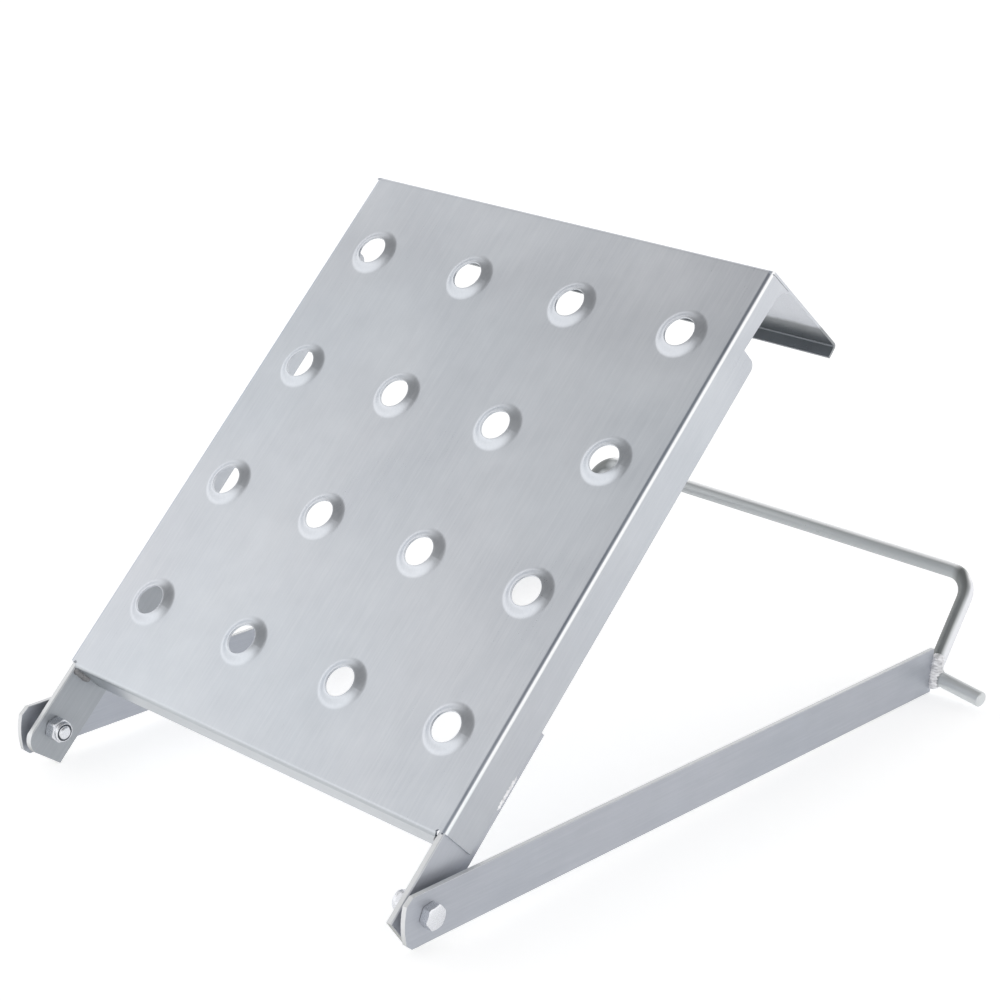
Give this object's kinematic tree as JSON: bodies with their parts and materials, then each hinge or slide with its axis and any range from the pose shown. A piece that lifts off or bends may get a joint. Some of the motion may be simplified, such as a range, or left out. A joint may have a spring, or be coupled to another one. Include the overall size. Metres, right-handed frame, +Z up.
{
  "type": "folding roof and ladder bracket",
  "caption": "Perforated sheet-steel tread with a full-width hook and two swinging flat-bar legs joined by a bent rod, shown standing half open.",
  "frame": {"origin": "middle of the footprint, on the floor that the left arm's lower corner and the legs' rear corners stand on", "axes": "+X across to the right seen from the pivot end, +Y from the pivot end towards the hook and cross bar, +Z up"},
  "size_m": [0.3932, 0.5266, 0.3101],
  "materials": {
    "sheet": "bright zinc plate, satin",
    "bar": "bright zinc plate, satin",
    "rod": "bright zinc plate, drawn bar",
    "fastener": "bright zinc plate",
    "weld": "plated weld bead, matt",
    "nylon": "dark nylon"
  },
  "bodies": {
    "legs": {"brace_rod": "rod", "left_leg": "bar", "left_rod_weld": "weld", "right_leg": "bar", "right_rod_weld": "weld"},
    "platform": {"tread_plate": "sheet", "left_arm": "bar", "left_edge_weld": "weld", "left_corner_weld": "weld", "left_bolt": "fastener", "left_spacer": "fastener", "left_nut": "fastener", "left_nut_ring": "nylon", "right_arm": "bar", "right_edge_weld": "weld", "right_corner_weld": "weld", "right_bolt": "fastener", "right_spacer": "fastener", "right_nut": "fastener", "right_nut_ring": "nylon"}
  },
  "joints": [
    {"name": "platform_fold", "type": "hinge", "parent": "legs", "child": "platform", "pos_m": [0, -0.24405, 0.0242], "axis": [1, 0, 0], "range_deg": [-45.7, 134.3]}
  ]
}
